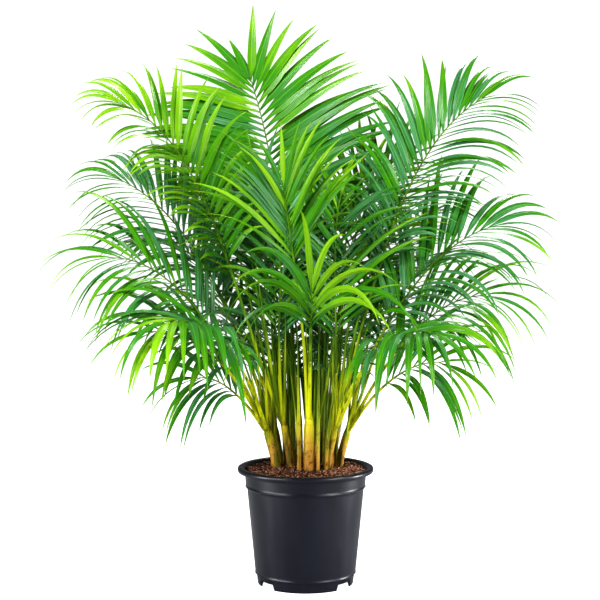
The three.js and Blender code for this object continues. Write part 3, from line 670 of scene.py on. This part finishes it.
def pot_profile():
    """The pot's section from the middle of its underside, up the outside, and down to its floor."""
    rim_base = POT_HEIGHT - RIM_DEPTH
    return [
        (0.0, FLOOR_HEIGHT),
        (FLOOR_RING, FLOOR_HEIGHT),
        (FOOT_RADIUS - 2 * MM, FLOOR_HEIGHT),
        (FOOT_RADIUS - 2.6 * MM, 0.0),
        (FOOT_RADIUS - 0.4 * MM, 0.0),
        *braced((FOOT_RADIUS, 0.6 * MM), (HEEL_RADIUS - 2.2 * MM, FOOT_HEIGHT - 1.2 * MM)),
        (HEEL_RADIUS - 1.4 * MM, FOOT_HEIGHT + 0.2 * MM),
        (HEEL_RADIUS - 0.3 * MM, FOOT_HEIGHT + 0.9 * MM),
        (HEEL_RADIUS + 0.7 * MM, FOOT_HEIGHT + 1.6 * MM),
        (HEEL_RADIUS + 0.6 * MM, FOOT_HEIGHT + 2.3 * MM),
        *braced((HEEL_RADIUS, FOOT_HEIGHT + 3.2 * MM), (BODY_RADIUS, BAND_FOOT - 4.0 * MM)),
        (BODY_RADIUS + 0.4 * MM, BAND_FOOT - 2.0 * MM),
        (BODY_RADIUS + 2.6 * MM, BAND_FOOT - 0.8 * MM),
        (BODY_RADIUS + 3.4 * MM, BAND_FOOT + 0.2 * MM),
        (BODY_RADIUS + 3.3 * MM, BAND_FOOT + 0.9 * MM),
        *braced(
            (BODY_RADIUS + 2.6 * MM, BAND_FOOT + 1.7 * MM), (BAND_RADIUS - 0.3 * MM, rim_base - 1.5 * MM)),
        (BAND_RADIUS + 0.8 * MM, rim_base - 0.2 * MM),
        (RIM_RADIUS - 2.6 * MM, rim_base),
        (RIM_RADIUS - 0.8 * MM, rim_base + 0.5 * MM),
        (RIM_RADIUS, rim_base + 2.0 * MM),
        (RIM_RADIUS, POT_HEIGHT - 3.2 * MM),
        (RIM_RADIUS - 0.7 * MM, POT_HEIGHT - 1.3 * MM),
        (RIM_RADIUS - 2.4 * MM, POT_HEIGHT - 0.2 * MM),
        (RIM_RADIUS - 4.0 * MM, POT_HEIGHT),
        (RIM_RADIUS - 8.0 * MM, POT_HEIGHT - 0.2 * MM),
        (BAND_RADIUS + 1.2 * MM, POT_HEIGHT - 2.0 * MM),
        (BAND_RADIUS - 0.6 * MM, POT_HEIGHT - 5.0 * MM),
        (BAND_RADIUS - WALL, rim_base - 4.0 * MM),
        (BODY_RADIUS - WALL, BAND_FOOT - 3 * MM),
        (HEEL_RADIUS - WALL, FOOT_HEIGHT + 4 * MM),
        (HEEL_RADIUS - 5 * MM, FLOOR_HEIGHT + WALL),
        (FLOOR_RING, FLOOR_HEIGHT + WALL),
        (0.0, FLOOR_HEIGHT + WALL),
    ]


def notch_share(angle):
    """1 in the middle of a drainage notch, 0 beside it and a short slope between them."""
    away = min(abs((math.degrees(angle) - notch + 180) % 360 - 180) for notch in NOTCHES)
    return min(max((NOTCH_WIDTH / 2 - away) / NOTCH_SLOPE, 0.0), 1.0)


def build_pot(settings):
    """The pot, with the notches raised in the ring that it stands on."""
    bm = lathed(pot_profile())
    for vert in bm.verts:
        if vert.co.z > FLOOR_HEIGHT / 2 or vert.co.xy.length < FOOT_RADIUS / 2:
            continue
        vert.co.z += NOTCH_HEIGHT * notch_share(math.atan2(vert.co.y, vert.co.x))
    bmesh.ops.recalc_face_normals(bm, faces=bm.faces)
    pot = new_piece("nursery_pot", bm, [plastic_material(settings)])
    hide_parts("pot")


# ---- Potting mix -------------------------------------------------------------


def soil_height(x, y):
    """Height of the uneven top of the mix: a slight crown, lumps, and a dip along the wall."""
    edge = math.hypot(x, y) / SOIL_RADIUS
    lumps = noise.noise(Vector((x * 60, y * 60, 3.1))) + 0.6 * noise.noise(Vector((x * 190, y * 190, 8.2)))
    return SOIL_TOP + 2 * MM * (1 - edge ** 2) + 1.3 * MM * lumps - 1.2 * MM * smooth(0.93, 1.0, edge)


def chip_shape(chance, size):
    """A splinter of bark, from thick crumb to thin flake."""
    length = size * chance.uniform(0.45, 1.0)
    return Vector((length, length * chance.uniform(0.35, 0.8), length * chance.uniform(0.2, 0.55)))


def build_mix(settings):
    """The mix as one lathed body with an uneven top, and the loose chips that lie on it."""
    chance = random.Random(MIX_SEED)
    bm = lathed([
        (0.0, FLOOR_HEIGHT + WALL + MIX_FLOOR_GAP),
        (MIX_FLOOR_RADIUS, FLOOR_HEIGHT + WALL + MIX_FLOOR_GAP),
        (HEEL_RADIUS - WALL - MIX_GAP, FOOT_HEIGHT + 4 * MM),
        (BODY_RADIUS - WALL - MIX_GAP, BAND_FOOT - 3 * MM),
        (SOIL_RADIUS, SOIL_TOP - 9 * MM),
        *((SOIL_RADIUS * ring / SOIL_RINGS, SOIL_TOP) for ring in range(SOIL_RINGS, -1, -1)),
    ])
    bmesh.ops.recalc_face_normals(bm, faces=bm.faces)
    for vert in bm.verts:
        if vert.co.z > SOIL_TOP - MM:
            vert.co.z = soil_height(vert.co.x, vert.co.y)
    tone = bm.verts.layers.float.new("tone")
    for vert in bm.verts:
        vert[tone] = 0.1
    for _ in range(settings.chips):
        far = math.sqrt(chance.random()) * (SOIL_RADIUS - CHIP_MARGIN)
        angle = chance.uniform(0, math.tau)
        x, y = far * math.cos(angle), far * math.sin(angle)
        place = Vector((x, y, soil_height(x, y) + chance.uniform(-0.2, 1.0) * MM))
        hinge = Vector((chance.gauss(0, 1), chance.gauss(0, 1), 0.01)).normalized()
        tilt = Quaternion(hinge, chance.gauss(0, 0.5))
        spin = Quaternion(UP, chance.uniform(0, math.tau))
        matrix = Matrix.LocRotScale(place, tilt @ spin, chip_shape(chance, settings.chip_size))
        chip = bmesh.ops.create_cube(bm, size=1, matrix=matrix)["verts"]
        shade = chance.random()
        for vert in chip:
            vert.co += Vector([chance.uniform(-0.45, 0.45) * MM for _ in range(3)])
            vert[tone] = shade
    mix_piece = new_piece("potting_mix_chips", bm, [bark_material(settings)], smooth_shading=False)
    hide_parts("potting_mix")


# ---- Canes and leaf stalks ---------------------------------------------------


def ring_share(distance, spacing, offset):
    """1 on a leaf scar of a cane and 0 between two of them."""
    away = abs((distance / spacing + offset) % 1.0 - 0.5) * spacing
    return math.exp(-((away / SCAR_WIDTH) ** 2))


def add_spear(target, frond, chance, shade):
    """A leaf that is still rolled up: a thin point between the stalks, and its BVH tree."""
    tip = Vector(frond["tip"])
    spread = chance.uniform(0.35, 0.85)
    above = Vector((tip.x * spread, tip.y * spread, tip.z + chance.uniform(-0.02, 0.06)))
    lean = frond["lean"] * spread + chance.gauss(0, 2)
    arch = frond_arch(dict(frond, tip=above, lean=lean, rise=min(frond["rise"] + 25, 80)))
    thick = chance.uniform(2.1, 3.4) * MM
    end = chance.uniform(0.34, 0.62)
    # A spear is painted a darker green than its cane: painted shade among the stalks.
    return add_bar(
        target, arch, 0, end, lambda share: thick * (1 - 0.88 * share ** 1.6), sides=8, rings=20,
        shade=min(shade + chance.uniform(0.1, 0.5), 1.0))


def add_shoot(target, cane, chance):
    """A young cane beside an older one, which ends in a point, and its BVH tree."""
    foot = Vector((*cane["foot"], SOIL_TOP - 10 * MM))
    beside = chance.uniform(0, math.tau)
    root = foot + cane["diameter"] * chance.uniform(0.8, 1.1) * leaning(math.pi / 2, beside)
    heading = math.atan2(root.y, root.x)
    lean = math.radians(cane["lean"] * chance.uniform(0.2, 0.8))
    height = chance.uniform(0.18, 0.34)
    top = root + height * leaning(lean, heading)
    arch = Arch(root, root + UP * height * 0.3, top - height * 0.3 * leaning(lean * 1.5, heading), top)
    thick = chance.uniform(2.8, 4.0) * MM
    # A shoot is painted a darker green than its cane. This is partly a young cane's own green and partly
    # painted shade low in the clump.
    return add_bar(
        target, arch, 0, 1, lambda share: thick * (1 - 0.9 * share ** 1.4), sides=10, rings=20,
        shade=min(cane["shade"] + 0.4, 1.0))


def build_canes(settings, fronds, material):
    """The canes with their stalks, and the BVH trees of them all."""
    trees = []
    for number, cane in enumerate(CANES):
        chance = random.Random(CANE_SEED + number)
        offset = chance.random()
        arch = cane_arch(cane)
        bm = bmesh.new()

        def scar_at(share):
            above = share * arch.length - ROOT_DEPTH
            fade = 1 - smooth(0.7, 0.95, share)
            return fade * ring_share(above, settings.ring_spacing, offset)

        def radius_at(share):
            taper = mix(1.14 - 0.1 * share, 0.36, smooth(0.72, 1.0, share))
            return cane["diameter"] / 2 * taper * (1 + 0.035 * scar_at(share))

        trees.append(add_bar(
            bm, arch, 0, 1, radius_at, sides=20, rings=90, scar_at=scar_at, shade=cane["shade"]))
        thickest = min(STALK_RADIUS, 0.3 * cane["diameter"])

        def stalk_radius(share):
            return mix(0.45, 1.0, smooth(0.0, 0.1, share)) * mix(thickest, NECK_RADIUS, share ** 0.7)

        own = [frond for frond in fronds if frond["cane"] == number]
        for frond in own:
            trees.append(add_bar(
                bm, frond["arch"], 0, frond["stalk"] + STALK_LAP, stalk_radius, sides=12, rings=24,
                shade=cane["shade"]))
        for _ in range(SPEARS):
            trees.append(add_spear(bm, chance.choice(own), chance, cane["shade"]))
        for _ in range(SHOOTS):
            trees.append(add_shoot(bm, cane, chance))
        piece = new_piece(f"cane_and_stalks_{number + 1:02d}", bm, [material])
        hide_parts(f"cane_{number + 1:02d}")
    return trees


# ---- Fronds ------------------------------------------------------------------


def length_share(t):
    """Leaflets are longest a little below the middle of the blade."""
    if t < LONGEST_AT:
        return mix(0.52, 1.0, t / LONGEST_AT)
    return mix(1.0, 0.58, ((t - LONGEST_AT) / (1 - LONGEST_AT)) ** 1.4)


def blade_half(t):
    """Half the width of a leaflet, as a share: narrow at its root, drawn out to a fine tip."""
    taper = 1 - (max(t - 0.3, 0) / 0.7) ** 1.75
    return max((0.16 + 0.84 * smooth(0.0, 0.26, t)) * taper, 0.015)


def leaflet_frame(frond, t):
    """The root of a leaflet, and the ways along, across and out of the frond's face there."""
    share = mix(frond["stalk"], 1, t)
    turn = math.radians(frond["turn"])
    along = frond["arch"].along(share)
    across = along.cross(Vector((0, -math.sin(turn), math.cos(turn)))).normalized()
    return frond["arch"].at(share), along, across, across.cross(along)


def leaflet_habit(chance, frond):
    """How one leaflet departs from its neighbours."""
    wild = frond["wild"]
    return dict(
        forward=chance.gauss(0, 1 + 5 * wild), lift=chance.gauss(0, 2 + 7 * wild),
        twist=15 + 8 * wild + chance.gauss(0, 2 + 16 * wild), size=1 + chance.gauss(0, 0.03 + 0.09 * wild),
        width=1 + chance.gauss(0, 0.04 + 0.08 * wild), curl=chance.gauss(0, 12 + 30 * wild),
        droop=frond["droop"] * (1 + chance.gauss(0, 0.08 + 0.16 * wild)))


def shape_leaflet(bar, seats, frond, t, side, habit, bend, breadth):
    """Puts the unit bar's vertices where this leaflet's are."""
    forward, raised, twist, size = bend
    root, along, across, face = leaflet_frame(frond, t)
    ahead = math.radians(mix(frond["fan"], END_ANGLE, t ** 8) * (t < 1) + habit["forward"] - forward)
    lift = math.radians(frond["lift"] * mix(1.2, 0.6, t) + habit["lift"] + raised)
    sideways = across * side * math.cos(lift) + face * math.sin(lift)
    heading = (along * math.cos(ahead) + sideways * math.sin(ahead)).normalized()
    above = face + UP * SKYWARD * math.cos(math.radians(frond["turn"]))
    flat = (above - heading * above.dot(heading)).normalized().cross(heading) * side
    flat = Quaternion(heading, -math.radians(habit["twist"] + twist) * side) @ flat
    length = frond["leaflet"] * length_share(t) * size * habit["size"]
    half = breadth * frond["width"] / 2 * mix(0.7, 1.0, length_share(t)) * habit["width"]
    line = [(root, heading, flat)]
    for ring in range(BLADE_RINGS):
        place, heading, flat = line[-1]
        weight = 0.35 + 1.3 * (ring + 0.5) / BLADE_RINGS
        lower = (heading - UP * habit["droop"] * weight / BLADE_RINGS).normalized()
        flat = heading.rotation_difference(lower) @ flat
        flat = Quaternion(lower, math.radians(habit["curl"]) / BLADE_RINGS) @ flat
        line.append((place + lower * length / BLADE_RINGS, lower, flat))
    for vert, seat in zip(bar.verts, seats):
        place, heading, flat = line[round(seat.z * BLADE_RINGS)]
        above = heading.cross(flat) * side
        reach = half * blade_half(seat.z)
        thick = BLADE_THICKNESS / 2 * mix(1.6, 0.5, seat.z)
        drop = -abs(seat.x) * reach * math.sin(BLADE_FOLD)
        sideways = flat * seat.x * side * reach * math.cos(BLADE_FOLD)
        vert.co = place + sideways + above * (drop + seat.y * thick)


def boxes_meet(a, b):
    return all(a[0][i] <= b[1][i] and b[0][i] <= a[1][i] for i in range(3))


def box_of(bar):
    xs, ys, zs = zip(*(vert.co for vert in bar.verts))
    return (min(xs), min(ys), min(zs)), (max(xs), max(ys), max(zs))


def crossings(bar, obstacles):
    """How many faces of the bar cross an obstacle."""
    box = box_of(bar)
    tree = None
    count = 0
    for other_box, other in obstacles:
        if other_box is None or boxes_meet(box, other_box):
            tree = tree or BVHTree.FromBMesh(bar, epsilon=TOUCH)
            count += len(tree.overlap(other))
    return count


def grow_frond(number, frond, settings, obstacles, bar, seats):
    """One frond's mesh: its rachis and two rows of leaflets, each bent clear of what is in the way."""
    chance = random.Random(settings.seed * 1000 + number)
    bm = bmesh.new()
    add_bar(
        bm, frond["arch"], frond["stalk"], 1,
        lambda share: mix(NECK_RADIUS, RACHIS_END_RADIUS, share ** 0.8), sides=8, rings=30)
    stem_faces = len(bm.faces)
    blade = bar.verts.layers.float_vector["blade"]
    young = bar.verts.layers.float["young"]
    spacing = frond["spacing"] / settings.crowding
    pairs = round(frond["arch"].length * (1 - frond["stalk"]) * (1 - frond["bare"]) / spacing)
    own = []
    for i in range(2 * pairs + 1):
        side = 1 if i % 2 else -1
        t = mix(frond["bare"], 1, min((i // 2 + 0.55 + 0.15 * side) / pairs, 1))
        habit = leaflet_habit(chance, frond)
        shade = chance.random()
        age = frond["young"] + 0.35 * (t - 0.5) + chance.gauss(0, 0.05 + 0.3 * frond["wild"])
        tried = []
        for bend in BENDS:
            shape_leaflet(bar, seats, frond, t, side, habit, bend, settings.breadth)
            tried.append((crossings(bar, obstacles) + crossings(bar, own), len(tried), bend))
            if not tried[-1][0]:
                break
        count, _, bend = min(tried)
        if count > CROSSINGS_KEPT:
            continue
        shape_leaflet(bar, seats, frond, t, side, habit, bend, settings.breadth)
        for vert, seat in zip(bar.verts, seats):
            vert[blade] = (seat.z, seat.x, shade)
            vert[young] = age
        own.append((box_of(bar), BVHTree.FromBMesh(bar)))
        poured(bar, bm)
    for face in list(bm.faces)[stem_faces:]:
        face.material_index = 1
    return bm, own


def build_fronds(settings, fronds, trees, stem_skin):
    """Every frond in turn, clear of the canes and of the fronds before it."""
    leaf_skin = leaf_material(settings)
    bar, seats = unit_bar(4, BLADE_RINGS, crisp=True)
    bar.verts.layers.float_vector.new("blade")
    bar.verts.layers.float.new("young")
    obstacles = [(None, tree) for tree in trees]
    for number, frond in enumerate(fronds):
        bm, own = grow_frond(number, frond, settings, obstacles, bar, seats)
        obstacles += own
        piece = new_piece(f"arching_frond_{number + 1:02d}", bm, [stem_skin, leaf_skin])
        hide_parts(f"frond_{number + 1:02d}")
    bar.free()


# ---- Stage -------------------------------------------------------------------


def build_camera(settings):
    camera = bpy.data.objects.new("camera", bpy.data.cameras.new("camera"))
    camera.data.lens = settings.focal_length
    camera.data.sensor_width = SENSOR_WIDTH
    camera.location = CAMERA_PLACE
    camera.rotation_euler = (math.radians(90 - CAMERA_DIP), 0, math.radians(CAMERA_PAN))
    camera.data.clip_end = 50
    bpy.context.scene.collection.objects.link(camera)
    bpy.context.scene.camera = camera


def build_floor():
    """A pale floor that the camera sees as nearly white."""
    bm = bmesh.new()
    bmesh.ops.create_grid(bm, x_segments=2, y_segments=2, size=FLOOR_REACH)
    mesh = bpy.data.meshes.new("floor")
    bm.to_mesh(mesh)
    bm.free()
    nodes = Nodes("floor_paint")
    seen = nodes.add("ShaderNodeLightPath").outputs["Is Camera Ray"]
    nodes.set(
        Base_Color=rgba(WHITE, 0.35),
        Roughness=0.95,
        Emission_Color=rgba(WHITE),
        Emission_Strength=nodes.maths("MULTIPLY", seen, 0.95),
    )
    mesh.materials.append(nodes.material)
    floor = bpy.data.objects.new("floor", mesh)
    bpy.context.scene.collection.objects.link(floor)


def add_light(name, place, aim, size, power):
    light = bpy.data.objects.new(name, bpy.data.lights.new(name, "AREA"))
    light.data.shape = "DISK"
    light.data.size = size
    light.data.energy = power
    light.location = place
    light.rotation_euler = (Vector(aim) - Vector(place)).to_track_quat("-Z", "Y").to_euler()
    bpy.context.scene.collection.objects.link(light)


def build_surroundings(settings):
    """A white backdrop, and a dimmer light from all around."""
    world = bpy.data.worlds.new("surroundings")
    world.use_nodes = True
    tree = world.node_tree
    around = tree.nodes["Background"]
    around.inputs["Color"].default_value = rgba(WHITE)
    around.inputs["Strength"].default_value = settings.sky
    backdrop = tree.nodes.new("ShaderNodeBackground")
    backdrop.inputs["Color"].default_value = rgba(WHITE)
    both = tree.nodes.new("ShaderNodeMixShader")
    tree.links.new(tree.nodes.new("ShaderNodeLightPath").outputs["Is Camera Ray"], both.inputs[0])
    tree.links.new(around.outputs[0], both.inputs[1])
    tree.links.new(backdrop.outputs[0], both.inputs[2])
    tree.links.new(both.outputs[0], tree.nodes["World Output"].inputs["Surface"])
    bpy.context.scene.world = world


def build_lights(settings):
    for name, (place, aim, size, share) in LIGHTS.items():
        add_light(name, place, aim, size, settings.key * share)
    bpy.context.scene.view_settings.view_transform = "Standard"
    bpy.context.scene.view_settings.look = "Medium High Contrast"


# ---- Operators ---------------------------------------------------------------


class PALM_OT_stage(bpy.types.Operator):
    """Add the camera, the floor and the soft studio light"""

    bl_idname = "palm.stage"
    bl_label = "Stage"

    def execute(self, context):
        build_camera(context.scene.palm_stage)
        build_floor()
        build_surroundings(context.scene.palm_stage)
        build_lights(context.scene.palm_stage)
        return {"FINISHED"}


class PALM_OT_pot(bpy.types.Operator):
    """Build the nursery pot"""

    bl_idname = "palm.pot"
    bl_label = "Pot"

    def execute(self, context):
        build_pot(context.scene.palm_pot)
        return {"FINISHED"}


class PALM_OT_potting_mix(bpy.types.Operator):
    """Fill the pot with bark, coir and peat"""

    bl_idname = "palm.potting_mix"
    bl_label = "Potting Mix"

    def execute(self, context):
        build_mix(context.scene.palm_mix)
        return {"FINISHED"}


class PALM_OT_plant(bpy.types.Operator):
    """Grow the canes with their stalks, then the fronds that are bent clear of them"""

    bl_idname = "palm.plant"
    bl_label = "Canes and Fronds"

    def execute(self, context):
        scene = context.scene
        fronds = [dict(frond, arch=frond_arch(frond)) for frond in FRONDS]
        skin = stem_material(scene.palm_stems)
        trees = build_canes(scene.palm_stems, fronds, skin)
        build_fronds(scene.palm_leaves, fronds, trees, skin)
        return {"FINISHED"}


OPERATORS = (PALM_OT_stage, PALM_OT_pot, PALM_OT_potting_mix, PALM_OT_plant)


class PALM_PT_sidebar(bpy.types.Panel):
    """Lists the steps that build the palm"""

    bl_label = "Potted Palm"
    bl_idname = "PALM_PT_sidebar"
    bl_space_type = "VIEW_3D"
    bl_region_type = "UI"
    bl_category = "Palm"

    def draw(self, context):
        for operator in OPERATORS:
            self.layout.operator(operator.bl_idname)
        for name, group in SETTINGS.items():
            box = self.layout.box()
            box.label(text=group.__doc__.rstrip("."))
            for key in group.__annotations__:
                box.prop(getattr(context.scene, name), key)


CLASSES = (*SETTINGS.values(), *OPERATORS, PALM_PT_sidebar)


def register():
    for cls in CLASSES:
        bpy.utils.register_class(cls)
    for name, group in SETTINGS.items():
        setattr(bpy.types.Scene, name, PointerProperty(type=group))


def unregister():
    for name in SETTINGS:
        delattr(bpy.types.Scene, name)
    for cls in reversed(CLASSES):
        bpy.utils.unregister_class(cls)


def main():
    register()
    bpy.ops.palm.stage()
    bpy.ops.palm.pot()
    bpy.ops.palm.potting_mix()
    bpy.ops.palm.plant()


if __name__ == "__main__":
    main()
